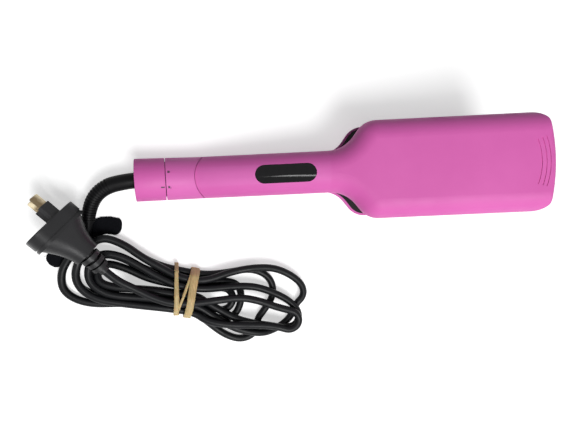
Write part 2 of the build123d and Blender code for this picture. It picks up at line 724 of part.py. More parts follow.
# The hank starts on the left, on the outermost low strand
hank = [
    on_loop(LEFT_LOW, LEFT_R[3], 262, LAYER[0]),
    on_loop(LEFT_LOW, LEFT_R[3], 270 + flank_turn(LEFT_LOW, LEFT_R[3], -SLOTS[2], False), LAYER[0]),
    station(-WAIST_HALF, -SLOTS[2], AT_WAIST[0], 1, 0),
]
hank += loop(RIGHT_LOW, RIGHT_LOW_R[2], -SLOTS[2], SLOTS[2], 0)
hank += loop(LEFT_LOW, LEFT_R[2], SLOTS[2], -SLOTS[1], 0)
hank += loop(RIGHT_LOW, RIGHT_LOW_R[1], -SLOTS[1], SLOTS[1], 0)
hank += loop(LEFT_LOW, LEFT_R[1], SLOTS[1], -SLOTS[0], 0)
hank += loop(RIGHT_LOW, RIGHT_LOW_R[0], -SLOTS[0], SLOTS[0], 0)
hank += climbing_loop()
hank += loop(RIGHT_TOP, RIGHT_TOP_R[0], -SLOTS[0], SLOTS[0], 1)
hank += loop(LEFT_TOP, LEFT_R[1], SLOTS[0], -SLOTS[1], 1)
hank += loop(RIGHT_TOP, RIGHT_TOP_R[1], -SLOTS[1], SLOTS[1], 1)
hank += loop(LEFT_TOP, LEFT_R[2], SLOTS[1], -SLOTS[2], 1)
hank += last_loop()

# Guard: smooth sleeve, then rings that taper along a bend towards the table
GUARD_POINTS = [
    (DRUM_START, 0.0, HANDLE_R),
    (-2.0, -0.2, HANDLE_R),
    (-10.3, -1.3, HANDLE_R - 0.3),
    (-16.1, -2.6, HANDLE_R - 0.8),
    (-24.0, -7.0, HANDLE_R - 2.0),
    (-28.6, -12.6, HANDLE_R - 3.4),
    (-31.5, -19.5, HANDLE_R - 5.2),
    (-33.2, -28.0, HANDLE_R - 7.4),
]
GUARD_SMOOTH = 20.0
RIB_STEP = 1.9
RIB_LONG = 1.15
RIB_DEPTH = 0.7
guard_line = Spline(
    [Vector(*point) for point in GUARD_POINTS],
    tangents=[Vector(-1, 0, 0), Vector(-0.12, -0.97, -0.24)],
)
guard_length = guard_line.length


def guard_radius(along):
    """Outer radius of the ribs, tapering to the cord end."""
    share = max(0.0, (along - GUARD_SMOOTH) / (guard_length - GUARD_SMOOTH))
    return GUARD_R + (GUARD_END_R - GUARD_R) * share


smooth_end = guard_line.trim(0, GUARD_SMOOTH / guard_length)
sleeve = sweep(Plane(smooth_end @ 0, z_dir=smooth_end % 0) * Circle(GUARD_R), path=smooth_end)
inner = sweep(Plane(guard_line @ 0, z_dir=guard_line % 0) * Circle(3.4), path=guard_line)
guard = sleeve + inner
along = GUARD_SMOOTH + RIB_STEP / 2
while along < guard_length - RIB_LONG / 2 - RUN:
    share = along / guard_length
    rib = Cylinder(guard_radius(along), RIB_LONG)
    rib = rib + Cylinder(guard_radius(along) - RIB_DEPTH, RIB_STEP * 1.25)
    guard = guard + Plane(guard_line @ share, z_dir=guard_line % share) * rib
    along += RIB_STEP
guard_end = guard_line @ 1
guard_heading = guard_line % 1

# Free cord from the guard round to the hank
hank_start, hank_heading = hank[0]
free = [
    (guard_end, guard_heading),
    station(-84.6, -1.5, 4.25, -0.04, -1.0, -0.02),
    station(-73.0, -25.4, 2.9, 0.94, -0.34, -0.02),
    (hank_start, hank_heading),
]

# Plug: it lies across the loops with its blades pointing away from the hank
PLUG_FACE = Vector(-53.7, -24.7, 26.5)
PLUG_NECK = Vector(-33.2, -46.9, 23.8)
PLUG_AXIS = (PLUG_NECK - PLUG_FACE).normalized()
PLUG_ROLL = 68.0
FLANGE_LONG = 10.5
BODY_LONG = 31.5
RELIEF_LONG = 17.0
BLADE_LONG = 17.0
BLADE_WIDE = 6.35
BLADE_THICK = 1.63
BLADE_APART = 13.7
BLADE_SPLAY = 30.0
BLADE_SHIFT = 4.4
SLEEVE_LONG = 9.4
RELIEF_R = 7.0
RELIEF_END_R = 5.2
plug_across = PLUG_AXIS.cross(Vector(0, 0, 1)).normalized()
plug_spot = Plane(PLUG_FACE, x_dir=plug_across, z_dir=PLUG_AXIS).location * Rot(0, 0, PLUG_ROLL)


def oval(high, wide, z):
    """Rounded outline across the plug's axis, wide along its own Y."""
    return Pos(0, 0, z) * RectangleRounded(high, wide, high * 0.48)


FLANGE_HIGH = 25.0
FLANGE_WIDE = 37.0
FLANGE_ROUND = 10.5
flange = extrude(RectangleRounded(FLANGE_HIGH, FLANGE_WIDE, FLANGE_ROUND), FLANGE_LONG)
flange = fillet(flange.edges().group_by(Axis.Z)[0], 0.7)
sections = [
    oval(22.0, 33.0, FLANGE_LONG),
    oval(19.0, 26.0, FLANGE_LONG + 6),
    oval(16.5, 20.5, FLANGE_LONG + 12.5),
    oval(15.5, 18.0, BODY_LONG),
]
body = flange + loft(sections)
groove = Pos(0, 0, FLANGE_LONG - 3.0) * extrude(
    RectangleRounded(FLANGE_HIGH + 3, FLANGE_WIDE + 3, FLANGE_ROUND + 1.5)
    - RectangleRounded(FLANGE_HIGH - 1.2, FLANGE_WIDE - 1.2, FLANGE_ROUND - 0.6), 0.9)
body = body - groove
blades = []
sleeves = []
for side in (-0.5, 0.5):
    spot = Pos(side * BLADE_APART, BLADE_SHIFT, 0) * Rot(0, 0, 2 * side * BLADE_SPLAY)
    blade = Pos(0, 0, -BLADE_LONG / 2) * Box(BLADE_THICK, BLADE_WIDE, BLADE_LONG)
    blade = chamfer(blade.edges().group_by(Axis.Z)[0], 0.45)
    blades.append(spot * blade)
    collar = Box(BLADE_THICK + 1.8, BLADE_WIDE + 1.6, SLEEVE_LONG)
    collar = collar - Box(BLADE_THICK, BLADE_WIDE, SLEEVE_LONG + 1)
    sleeves.append(spot * Pos(0, 0, -SLEEVE_LONG / 2) * collar)
plug_body = plug_spot * body
plug_blades = plug_spot * Compound(blades)
blade_sleeves = plug_spot * Compound(sleeves)

# Strain relief of the plug: rings on a short curve that leads into the cord
RELIEF_END = Vector(-22.9, -60.4, 19.4)
RELIEF_STEP = 4.2
RELIEF_RING = 2.9
relief_heading = way(0.85, -0.47, -0.2)
relief_start = PLUG_FACE + PLUG_AXIS * BODY_LONG
relief_line = Spline([relief_start, RELIEF_END], tangents=[PLUG_AXIS, relief_heading])
relief_plane = Plane(relief_line @ 0, z_dir=relief_line % 0)
relief = sweep(relief_plane * Circle(3.5), path=relief_line)
relief_length = relief_line.length
along = RELIEF_STEP / 2 + 0.4
while along < relief_length - RELIEF_RING / 2:
    share = along / relief_length
    radius = RELIEF_R + (RELIEF_END_R - RELIEF_R) * share
    ring_part = Cylinder(radius, RELIEF_RING)
    relief = relief + Plane(relief_line @ share, z_dir=relief_line % share) * ring_part
    along += RELIEF_STEP

lead = [
    hank[-1],
    station(-36.0, -6.5, AT_WAIST[2] + 0.5, -0.985, 0.17, 0.1),
    (RELIEF_END, relief_heading * -1),
]

hank_route = route(hank)
free_route = route(free)
lead_route = route(lead)
cord_hank, hank_length = section_on(hank_route, CORD_R)
cord_tube, free_length = section_on(free_route, CORD_R)
plug_lead, lead_length = section_on(lead_route, CORD_R)

# Rubber band: two turns round the waist, each a little aslant
BAND_THICK = 0.9
BAND_TOP = AT_WAIST[2] + CORD_R + 0.5
BAND_SHOULDER = AT_WAIST[1] + CORD_R + RUN
BAND_HALF = SLOTS[2] + CORD_R + 0.8


def band_turn(top, bottom, width):
    """One closed turn of the band between two points given along and across the hank."""
    lean = hypot(top[0] - bottom[0], top[1] - bottom[1]) / abs(top[1] - bottom[1])
    half = BAND_HALF * lean
    outline = [
        (-half, BAND_LIFT - RUN, 2.0),
        (-half, BAND_SHOULDER - 0.6, 2.5),
        (-9.5 * lean, BAND_TOP, 4.0),
        (7.5 * lean, BAND_TOP, 4.0),
        (half, BAND_SHOULDER - 0.6, 2.5),
        (half, BAND_LIFT - RUN, 2.0),
    ]
    grown = offset(rounded_face(outline), BAND_THICK)
    ring_face = grown - rounded_face(outline)
    centre = on_table((top[0] + bottom[0]) / 2, (top[1] + bottom[1]) / 2, 0)
    direction = way(top[0] - bottom[0], top[1] - bottom[1])
    plane = Plane(centre, x_dir=direction, z_dir=direction.cross(Vector(0, 0, 1)))
    return plane.location * extrude(ring_face, width / 2, both=True)


rubber_band = Compound([
    band_turn((-11.5, 15.0), (2.5, -15.0), 2.0),
    band_turn((3.0, 15.0), (10.5, -15.0), 3.6),
])

# Strap that lies under the plug, drawn along its middle line
STRAP_POINTS = [(-57.0, -52.0), (-36.0, -34.5), (-24.0, -28.5), (-13.5, -29.5)]
STRAP_HALF = 5.4
STRAP_THICK = 1.2
STRAP_ROUND = 3.0
strap_line = Spline([Vector(x, y, 0) for x, y in STRAP_POINTS])
strap_sides = []
for side in (1, -1):
    edge_points = []
    for step in range(9):
        share = step / 8
        outward = (strap_line % share).cross(Vector(0, 0, side))
        edge_points.append(strap_line @ share + outward * STRAP_HALF)
    strap_sides.append(Spline(edge_points))
near_side, far_side = strap_sides
strap_face = make_face([
    near_side, Line(near_side @ 1, far_side @ 1), far_side, Line(far_side @ 0, near_side @ 0)])
strap = Pos(0, 0, 0.05) * extrude(strap_face, STRAP_THICK)
cord_strap = fillet(strap.edges().filter_by(Axis.Z), STRAP_ROUND)

for name, shape in (
    ("cord_guard", guard),
    ("cord_tube", cord_tube),
    ("cord_hank", cord_hank),
    ("plug_lead", plug_lead),
    ("rubber_band", rubber_band),
    ("cord_strap", cord_strap),
    ("plug_body", plug_body),
    ("plug_blades", plug_blades),
    ("blade_sleeves", blade_sleeves),
    ("plug_relief", relief),
):
    nodes[name] = Pos(TABLE_SHIFT) * shape


def least_gap(pieces, diameter, skip):
    """Least clear distance of a swept cord from itself, on points along it."""
    points = []
    for edge, bend, turn in pieces:
        count = max(2, int(edge.length / 1.5))
        points.extend(edge @ (i / count) for i in range(count))
    points = [(point.X, point.Y, point.Z) for point in points]
    least = 1e9
    for i, one in enumerate(points):
        for other in points[i + skip:]:
            apart = sqrt((one[0] - other[0]) ** 2 + (one[1] - other[1]) ** 2 + (one[2] - other[2]) ** 2)
            least = min(least, apart)
    return least - diameter


def tightest(pieces):
    """Smallest radius of the arcs that turn by more than two degrees."""
    return min(abs(bend) for edge, bend, turn in pieces if abs(turn) > radians(2))


for name, pieces, solid, length in (
    ("free cord", free_route, cord_tube, free_length),
    ("hank", hank_route, cord_hank, hank_length),
    ("plug lead", lead_route, plug_lead, lead_length),
):
    expected = pi * CORD_R ** 2 * length
    print(name, "length", round(length, 1), "tightest radius", round(tightest(pieces), 1),
          "volume over section x length", round(solid.volume / expected, 4))
print("least gap of the cord to itself", round(least_gap(
    free_route + hank_route + lead_route, CORD_D, 18), 2))
print("whole cord", round(free_length + hank_length + lead_length, 1), "mm")

for name, shape in nodes.items():
    export_step(shape, "parts/" + name + ".step")
print(len(nodes), "parts written")
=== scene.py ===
import json
from math import cos, pi, radians, sin, sqrt, tan
import random

import bmesh
import bpy
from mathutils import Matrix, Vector


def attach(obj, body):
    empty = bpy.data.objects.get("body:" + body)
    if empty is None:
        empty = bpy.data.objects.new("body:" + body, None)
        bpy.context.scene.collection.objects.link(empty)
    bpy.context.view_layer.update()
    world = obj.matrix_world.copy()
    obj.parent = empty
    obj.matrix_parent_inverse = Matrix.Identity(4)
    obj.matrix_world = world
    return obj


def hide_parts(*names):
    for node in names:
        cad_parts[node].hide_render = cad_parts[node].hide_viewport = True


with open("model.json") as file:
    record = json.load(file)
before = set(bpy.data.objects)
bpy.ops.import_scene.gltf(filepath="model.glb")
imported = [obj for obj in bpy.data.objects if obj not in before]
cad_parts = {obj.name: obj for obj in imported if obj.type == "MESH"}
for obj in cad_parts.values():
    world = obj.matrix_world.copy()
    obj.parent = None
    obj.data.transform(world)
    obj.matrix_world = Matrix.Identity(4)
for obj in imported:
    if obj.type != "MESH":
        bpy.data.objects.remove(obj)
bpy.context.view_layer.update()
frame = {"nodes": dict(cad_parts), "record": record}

# Shared sizes, in metres
MM = 0.001
LENGTH = 288.5 * MM
CORD_D = 5.5 * MM

# Camera, as fitted to the outline
CAMERA_PLACE = (-0.12247, -0.00926, 0.34931)
CAMERA_TURN_DEGREES = (-2.9494, -14.5844, -2.7389)
CAMERA_LENS = 28.70
SENSOR_WIDTH = 36.0

# Floor and background: size, shade, glow and light
FLOOR_HALF = 3.0
FLOOR_DROP = 0.0004
FLOOR_SHADE = 0.82
FLOOR_GLOW = 0.56
BACKGROUND_LIGHT = 0.05
BACKGROUND_SHOWN = 1.0


# Camera, floor, lamps
def make_camera():
    data = bpy.data.cameras.new("camera")
    data.sensor_fit = "HORIZONTAL"
    data.sensor_width = SENSOR_WIDTH
    data.lens = CAMERA_LENS
    data.clip_start = 0.01
    data.clip_end = 20.0
    camera = bpy.data.objects.new("camera", data)
    camera.location = CAMERA_PLACE
    camera.rotation_euler = tuple(radians(angle) for angle in CAMERA_TURN_DEGREES)
    bpy.context.scene.collection.objects.link(camera)
    bpy.context.scene.camera = camera


def lamp(name, place, target, size, power, deep=None):
    """Round area lamp, or an oblong one where its depth is given."""
    data = bpy.data.lights.new(name, "AREA")
    data.shape = "RECTANGLE" if deep else "DISK"
    data.size = size
    data.size_y = deep or size
    data.energy = power
    obj = bpy.data.objects.new(name, data)
    obj.location = place
    aim = Vector(target) - Vector(place)
    obj.rotation_euler = aim.to_track_quat("-Z", "Y").to_euler()
    bpy.context.scene.collection.objects.link(obj)


def seen_rays(nodes, links):
    """One where a camera, mirror or glass ray arrives, and zero for light that spreads."""
    path = nodes.new("ShaderNodeLightPath")
    first = nodes.new("ShaderNodeMath")
    first.operation = "MAXIMUM"
    second = nodes.new("ShaderNodeMath")
    second.operation = "MAXIMUM"
    links.new(path.outputs["Is Camera Ray"], first.inputs[0])
    links.new(path.outputs["Is Glossy Ray"], first.inputs[1])
    links.new(first.outputs[0], second.inputs[0])
    links.new(path.outputs["Is Transmission Ray"], second.inputs[1])
    return second.outputs[0]


def make_world():
    world = bpy.data.worlds.new("studio")
    bpy.context.scene.world = world
    world.use_nodes = True
    nodes = world.node_tree.nodes
    links = world.node_tree.links
    nodes.clear()
    out = nodes.new("ShaderNodeOutputWorld")
    light = nodes.new("ShaderNodeBackground")
    light.inputs["Color"].default_value = (0.93, 0.96, 1.0, 1.0)
    light.inputs["Strength"].default_value = BACKGROUND_LIGHT
    shown = nodes.new("ShaderNodeBackground")
    shown.inputs["Color"].default_value = (1.0, 1.0, 1.0, 1.0)
    shown.inputs["Strength"].default_value = BACKGROUND_SHOWN
    mix = nodes.new("ShaderNodeMixShader")
    links.new(seen_rays(nodes, links), mix.inputs[0])
    links.new(light.outputs[0], mix.inputs[1])
    links.new(shown.outputs[0], mix.inputs[2])
    links.new(mix.outputs[0], out.inputs[0])


def make_floor():
    mesh = bpy.data.meshes.new("floor")
    half = FLOOR_HALF
    corners = [(-half, -half, 0), (half, -half, 0), (half, half, 0), (-half, half, 0)]
    mesh.from_pydata(corners, [], [(0, 1, 2, 3)])
    floor = bpy.data.objects.new("floor", mesh)
    floor.location = (0, 0, -FLOOR_DROP)
    bpy.context.scene.collection.objects.link(floor)
    material = bpy.data.materials.new("floor_white")
    material.use_nodes = True
    nodes = material.node_tree.nodes
    links = material.node_tree.links
    nodes.clear()
    out = nodes.new("ShaderNodeOutputMaterial")
    plain = nodes.new("ShaderNodeBsdfDiffuse")
    plain.inputs["Color"].default_value = (FLOOR_SHADE, FLOOR_SHADE, FLOOR_SHADE, 1.0)
    glow = nodes.new("ShaderNodeEmission")
    glow.inputs["Color"].default_value = (1.0, 1.0, 1.0, 1.0)
    glow.inputs["Strength"].default_value = FLOOR_GLOW
    both = nodes.new("ShaderNodeAddShader")
    mix = nodes.new("ShaderNodeMixShader")
    links.new(plain.outputs[0], both.inputs[0])
    links.new(glow.outputs[0], both.inputs[1])
    links.new(seen_rays(nodes, links), mix.inputs[0])
    links.new(plain.outputs[0], mix.inputs[1])
    links.new(both.outputs[0], mix.inputs[2])
    links.new(mix.outputs[0], out.inputs[0])
    mesh.materials.append(material)


make_camera()
make_world()
make_floor()
lamp("front", (0.05, -0.95, 0.75), (0.0, -0.02, 0.0), 0.7, 2.6)
lamp("high", (0.05, -0.55, 1.10), (0.0, -0.02, 0.0), 0.5, 9.5)
lamp("strip", (-0.29, -0.27, 1.20), (0.0, -0.03, 0.0), 0.45, 2.1, 0.09)
bpy.context.scene.view_settings.view_transform = "Standard"


# Materials
def srgb(red, green, blue):
    """Linear colour of an sRGB colour given from 0 to 255."""
    def channel(value):
        share = value / 255.0
        if share <= 0.04045:
            return share / 12.92
        return ((share + 0.055) / 1.055) ** 2.4
    return (channel(red), channel(green), channel(blue), 1.0)


class Shader:
    """Small helper that builds one material's nodes."""

    def __init__(self, name):
        self.material = bpy.data.materials.new(name)
        self.material.use_nodes = True
        self.nodes = self.material.node_tree.nodes
        self.links = self.material.node_tree.links
        self.nodes.clear()
        self.out = self.nodes.new("ShaderNodeOutputMaterial")
        self.main = self.nodes.new("ShaderNodeBsdfPrincipled")
        self.links.new(self.main.outputs[0], self.out.inputs[0])
        self.place = self.nodes.new("ShaderNodeTexCoord").outputs["Object"]
        self.last_bump = None

    def set(self, **values):
        for key, value in values.items():
            self.main.inputs[key.replace("_", " ")].default_value = value

    def stretch(self, scale):
        node = self.nodes.new("ShaderNodeMapping")
        node.inputs["Scale"].default_value = scale
        self.links.new(self.place, node.inputs["Vector"])
        return node.outputs[0]

    def noise(self, scale, detail=3.0, rough=0.55, vector=None):
        node = self.nodes.new("ShaderNodeTexNoise")
        node.inputs["Scale"].default_value = scale
        node.inputs["Detail"].default_value = detail
        node.inputs["Roughness"].default_value = rough
        self.links.new(vector or self.place, node.inputs["Vector"])
        return node.outputs["Fac"]

    def ramp(self, source, stops):
        node = self.nodes.new("ShaderNodeValToRGB")
        ramp = node.color_ramp
        while len(ramp.elements) < len(stops):
            ramp.elements.new(0.5)
        for element, (position, colour) in zip(ramp.elements, stops):
            element.position = position
            element.color = colour
        self.links.new(source, node.inputs[0])
        return node.outputs[0]

    def blend_range(self, source, low, high, out_low, out_high):
        node = self.nodes.new("ShaderNodeMapRange")
        node.inputs["From Min"].default_value = low
        node.inputs["From Max"].default_value = high
        node.inputs["To Min"].default_value = out_low
        node.inputs["To Max"].default_value = out_high
        self.links.new(source, node.inputs["Value"])
        return node.outputs[0]

    def mix(self, share, first, second):
        node = self.nodes.new("ShaderNodeMix")
        node.data_type = "RGBA"
        for value, socket in ((share, node.inputs[0]), (first, node.inputs[6]), (second, node.inputs[7])):
            if isinstance(value, (tuple, float)):
                socket.default_value = value
            else:
                self.links.new(value, socket)
        return node.outputs[2]

    def colour(self, source):
        self.links.new(source, self.main.inputs["Base Color"])

    def roughness(self, source):
        self.links.new(source, self.main.inputs["Roughness"])

    def bump(self, height, strength, distance):
        node = self.nodes.new("ShaderNodeBump")
        node.inputs["Strength"].default_value = strength
        node.inputs["Distance"].default_value = distance
        self.links.new(height, node.inputs["Height"])
        if self.last_bump is not None:
            self.links.new(self.last_bump, node.inputs["Normal"])
        self.last_bump = node.outputs[0]
        self.links.new(self.last_bump, self.main.inputs["Normal"])


def soft_pink():
    """Soft-touch pink paint: fine grain, faint cloudiness, and a painted highlight that lightens convex
    edges.
    """
    shader = Shader("soft_touch_pink")
    cloud = shader.noise(22.0, 3.0)
    base = shader.ramp(cloud, [(0.3, srgb(222, 102, 182)), (0.7, srgb(229, 109, 189))])
    geometry = shader.nodes.new("ShaderNodeNewGeometry")
    # Painted highlight: where pointiness is high, on convex edges and rims, the pink turns lighter
    lightened = shader.blend_range(geometry.outputs["Pointiness"], 0.52, 0.60, 0.0, 0.35)
    shader.colour(shader.mix(lightened, base, srgb(238, 130, 205)))
    grain = shader.noise(1400.0, 2.0)
    smudge = shader.noise(60.0, 4.0, 0.6)
    shader.roughness(shader.blend_range(smudge, 0.35, 0.7, 0.46, 0.60))
    shader.bump(grain, 0.10, 0.0002)
    shader.set(Specular_IOR_Level=0.25)
    return shader.material


def black_plastic(name, level=22, rough=0.45, grain=900.0, gloss=0.22, bump=0.14):
    """Moulded black plastic with a fine eroded grain and dust-grey variation."""
    shader = Shader(name)
    cloud = shader.noise(35.0, 4.0)
    low = srgb(level - 5, level - 5, level - 4)
    high = srgb(level + 6, level + 6, level + 8)
    shader.colour(shader.ramp(cloud, [(0.3, low), (0.7, high)]))
    shader.roughness(shader.blend_range(shader.noise(90.0, 3.0), 0.3, 0.7, rough - 0.06, rough + 0.08))
    shader.bump(shader.noise(grain, 2.0), bump, 0.0002)
    shader.set(Specular_IOR_Level=gloss)
    return shader.material


def cord_black():
    """Smooth flexible cord: black with a soft grey sheen and faint scuffs."""
    shader = Shader("cord_black")
    cloud = shader.noise(60.0, 4.0)
    shader.colour(shader.ramp(cloud, [(0.3, srgb(9, 10, 12)), (0.7, srgb(20, 21, 24))]))
    shader.roughness(shader.blend_range(shader.noise(140.0, 4.0), 0.35, 0.7, 0.34, 0.50))
    shader.bump(shader.noise(500.0, 3.0), 0.08, 0.0003)
    shader.set(Specular_IOR_Level=0.16)
    return shader.material


def window_black():
    """Dark display window: glossy, faintly smudged."""
    shader = Shader("window_black")
    bands = shader.noise(90.0, 2.0, 0.5, shader.stretch((3.0, 0.3, 1.0)))
    shader.colour(shader.ramp(bands, [(0.35, srgb(4, 4, 6)), (0.7, srgb(12, 10, 14))]))
    shader.roughness(shader.blend_range(shader.noise(180.0, 4.0), 0.4, 0.8, 0.06, 0.12))
    shader.set(Specular_IOR_Level=0.20)
    return shader.material


def rubber_cream():
    """Pale natural rubber with fine streaks along the band."""
    shader = Shader("band_cream")
    streak = shader.noise(420.0, 3.0, 0.6, shader.stretch((6.0, 0.6, 0.6)))
    shader.colour(shader.ramp(streak, [(0.3, srgb(178, 152, 104)), (0.7, srgb(222, 196, 140))]))
    shader.roughness(shader.blend_range(streak, 0.3, 0.7, 0.50, 0.66))
    shader.bump(streak, 0.25, 0.0003)
    shader.set(Subsurface_Weight=0.15, Subsurface_Scale=0.002)
    return shader.material


def metal(name, colour, rough, streaks=(1.0, 1.0, 30.0)):
    """Brushed or drawn metal with fine streaks."""
    shader = Shader(name)
    lines = shader.noise(220.0, 4.0, 0.6, shader.stretch(streaks))
    dark = tuple(0.72 * value for value in colour[:3]) + (1.0,)
    shader.colour(shader.ramp(lines, [(0.3, dark), (0.7, colour)]))
    shader.roughness(shader.blend_range(lines, 0.3, 0.7, rough - 0.07, rough + 0.08))
    shader.bump(lines, 0.06, 0.0002)
    shader.set(Metallic=1.0)
    return shader.material


def blade_bronze():
    """Worn bronze of the plug's blades: bright rubbed patches among dull brown ones."""
    shader = Shader("blade_bronze")
    patches = shader.noise(95.0, 2.0, 0.5)
    scratches = shader.noise(600.0, 3.0, 0.6, shader.stretch((1.0, 1.0, 9.0)))
    lightened = shader.ramp(patches, [(0.42, (0.16, 0.115, 0.065, 1.0)), (0.58, (0.62, 0.54, 0.38, 1.0))])
    fine = shader.blend_range(scratches, 0.3, 0.7, 0.0, 0.35)
    shader.colour(shader.mix(fine, lightened, (0.30, 0.24, 0.15, 1.0)))
    shader.roughness(shader.blend_range(scratches, 0.3, 0.7, 0.26, 0.42))
    shader.bump(scratches, 0.08, 0.0002)
    shader.set(Metallic=1.0)
    return shader.material


def plain(name, low, high, rough, grain=700.0, scale=50.0, bump=0.12):
    """Moulded or coated surface whose colour drifts between two shades."""
    shader = Shader(name)
    shader.colour(shader.ramp(shader.noise(scale, 4.0), [(0.3, low), (0.7, high)]))
    patches = shader.noise(scale * 2, 3.0)
    shader.roughness(shader.blend_range(patches, 0.3, 0.7, rough - 0.06, rough + 0.08))
    shader.bump(shader.noise(grain, 2.0), bump, 0.0002)
    return shader.material


pink = soft_pink()
liner_black = black_plastic("liner_black", 24, 0.48)
cap_black = black_plastic("cap_black", 13, 0.36, 900.0, 0.13)
plug_black = black_plastic("plug_black", 31, 0.40, 640.0, 0.26, 0.45)
cord_skin = cord_black()
cream = rubber_cream()
finishes = {
    "soft_pink": pink,
    "button_pink": pink,
    "mark_grey": plain("mark_dark", srgb(60, 38, 56), srgb(84, 56, 78), 0.6),
    "black_plastic": liner_black,
    "cap_black": cap_black,
    "pin_steel": metal("pin_steel", (0.62, 0.62, 0.64, 1.0), 0.32),
    "spring_steel": metal("spring_steel", (0.50, 0.50, 0.52, 1.0), 0.36),
    "bolt_nylon": plain("bolt_nylon", srgb(205, 203, 194), srgb(222, 220, 212), 0.50),
    "plate_ceramic": plain("plate_ceramic", srgb(44, 40, 42), srgb(66, 60, 62), 0.24, 1600.0, 160.0, 0.05),
    "heater_white": plain("heater_white", srgb(225, 222, 214), srgb(240, 238, 232), 0.62),
    "clamp_steel": metal("clamp_steel", (0.62, 0.62, 0.64, 1.0), 0.38),
    "silicone": plain("silicone", srgb(190, 74, 54), srgb(208, 88, 66), 0.46),
    "window_black": window_black(),
    "module_grey": plain("module_grey", srgb(50, 50, 54), srgb(66, 66, 70), 0.50),
    "board_green": plain("board_green", srgb(14, 70, 36), srgb(22, 92, 50), 0.36, 900.0, 220.0),
    "part_black": black_plastic("part_black", 34, 0.50),
    "screw_steel": metal("screw_steel", (0.40, 0.40, 0.42, 1.0), 0.34),
    "fuse_metal": metal("fuse_metal", (0.72, 0.72, 0.74, 1.0), 0.30),
    "cord_black": cord_skin,
    "band_rubber": cream,
    "strap_black": black_plastic("strap_black", 24, 0.70, 420.0),
    "plug_black": plug_black,
    "blade_brass": blade_bronze(),
}
slot_of = {part["node"]: part["material_slot"] for part in frame["record"]["subparts"]}
guard_skin = black_plastic("guard_black", 9, 0.40, 600.0, 0.09)
for name, obj in frame["nodes"].items():
    material = guard_skin if name == "cord_guard" else finishes[slot_of[name]]
    obj.data.materials.clear()
    obj.data.materials.append(material)


# Cord: the route's points are the control points of one smooth spline, in millimetres
WAIST = Vector((31.0, -82.5, 0.0))
WAIST_TURN = radians(-20.0)


def on_hank(u, v, z):
    """Point given along and across the tied hank, in table millimetres from the tail."""
    return (
        WAIST.x + u * cos(WAIST_TURN) - v * sin(WAIST_TURN),
        WAIST.y + u * sin(WAIST_TURN) + v * cos(WAIST_TURN),
        z,
    )


# Heights of the three layers of strands, and how far a strand rises under the band
LOW, MID, TOP = 2.85, 8.55, 14.25
LIFT = 1.3
# At the waist: distances from the middle, slant, and half the straight length of a strand
S1, S2, S3 = 2.75, 8.25, 13.75
SLANT = 0.7
WAIST_REACH = 9.0


def waist(v, z, towards):
    """Two control points of a straight strand through the band."""
    return [
        (-WAIST_REACH * towards, v - SLANT * towards, z + LIFT),
        (WAIST_REACH * towards, v + SLANT * towards, z + LIFT),
    ]


# Points along and across the hank and above the table. From the guard round the outer left loop
hank_points = [
    (-85.0, 2.0, 4.3), (-87.0, -10.0, 3.3), (-81.5, -22.5, LOW), (-64.0, -26.4, LOW), (-40.0, -19.5, LOW),
]
hank_points += waist(-S3, LOW, 1)
# Right, the large low loop that hangs below the others
hank_points += [
    (24.0, -20.6, LOW), (37.5, -26.0, LOW), (50.5, -26.5, LOW), (59.5, -19.0, LOW), (57.5, -8.5, LOW),
    (60.5, -1.0, LOW), (65.0, 13.0, LOW), (58.0, 25.5, LOW), (42.0, 28.5, LOW), (24.0, 20.0, LOW),
]
hank_points += waist(S3, LOW, -1)
# Left, second low loop
hank_points += [
    (-22.0, 12.4, LOW), (-37.0, 14.6, LOW), (-54.0, 21.4, LOW), (-70.0, 22.0, LOW), (-78.0, 8.0, LOW),
    (-78.5, -8.5, LOW), (-70.5, -18.5, LOW), (-53.0, -17.4, LOW), (-30.0, -12.6, LOW),
]
hank_points += waist(-S2, LOW, 1)
hank_points += [
    (20.0, -12.9, LOW), (33.0, -15.5, LOW), (41.0, -8.0, LOW), (41.0, 6.0, LOW), (34.0, 15.0, LOW),
    (19.0, 12.6, LOW),
]
hank_points += waist(S2, LOW, -1)
# Left, third low loop
hank_points += [
    (-24.0, 6.6, LOW), (-38.0, 8.2, LOW), (-53.0, 11.8, LOW), (-65.0, 10.5, LOW), (-69.5, 1.0, LOW),
    (-64.5, -8.6, LOW), (-52.0, -11.8, LOW), (-33.0, -7.0, LOW),
]
hank_points += waist(-S1, LOW, 1)
hank_points += [
    (17.0, -6.0, LOW), (23.5, -8.3, LOW), (30.0, -8.2, LOW), (34.7, -3.4, LOW), (34.7, 3.4, LOW),
    (30.0, 8.2, LOW), (23.5, 8.2, LOW), (17.0, 6.2, LOW),
]
hank_points += waist(S1, LOW, -1)
# Left, the inner loop that climbs to the middle level
hank_points += [
    (-30.0, 1.2, LOW), (-45.0, 4.6, LOW), (-59.0, 5.6, LOW + 1.2), (-63.6, 1.2, LOW + 2.6),
    (-63.6, -4.9, LOW + 4.2), (-59.0, -9.2, MID - 0.4), (-48.0, -9.0, MID), (-34.0, -6.5, MID),
]
hank_points += waist(-S1, MID, 1)
hank_points += [
    (24.0, -6.6, MID), (40.0, -10.9, MID), (54.0, -11.2, MID), (67.0, -9.8, MID), (79.5, -9.2, MID),
    (88.0, -4.0, MID), (87.0, 5.5, MID), (77.0, 12.2, MID), (62.0, 15.4, MID), (46.0, 16.2, MID),
    (30.0, 11.8, MID),
]
hank_points += [(9.0, 4.3, MID + LIFT), (-9.0, 3.1, MID + LIFT)]
# Left, second loop of the middle level
hank_points += [
    (-24.0, 5.4, MID), (-38.0, 9.6, MID), (-53.0, 13.4, MID), (-66.0, 11.5, MID), (-71.0, 0.5, MID),
    (-66.5, -11.0, MID), (-52.0, -15.9, MID), (-30.0, -11.8, MID),
]
hank_points += waist(-S2, MID, 1)
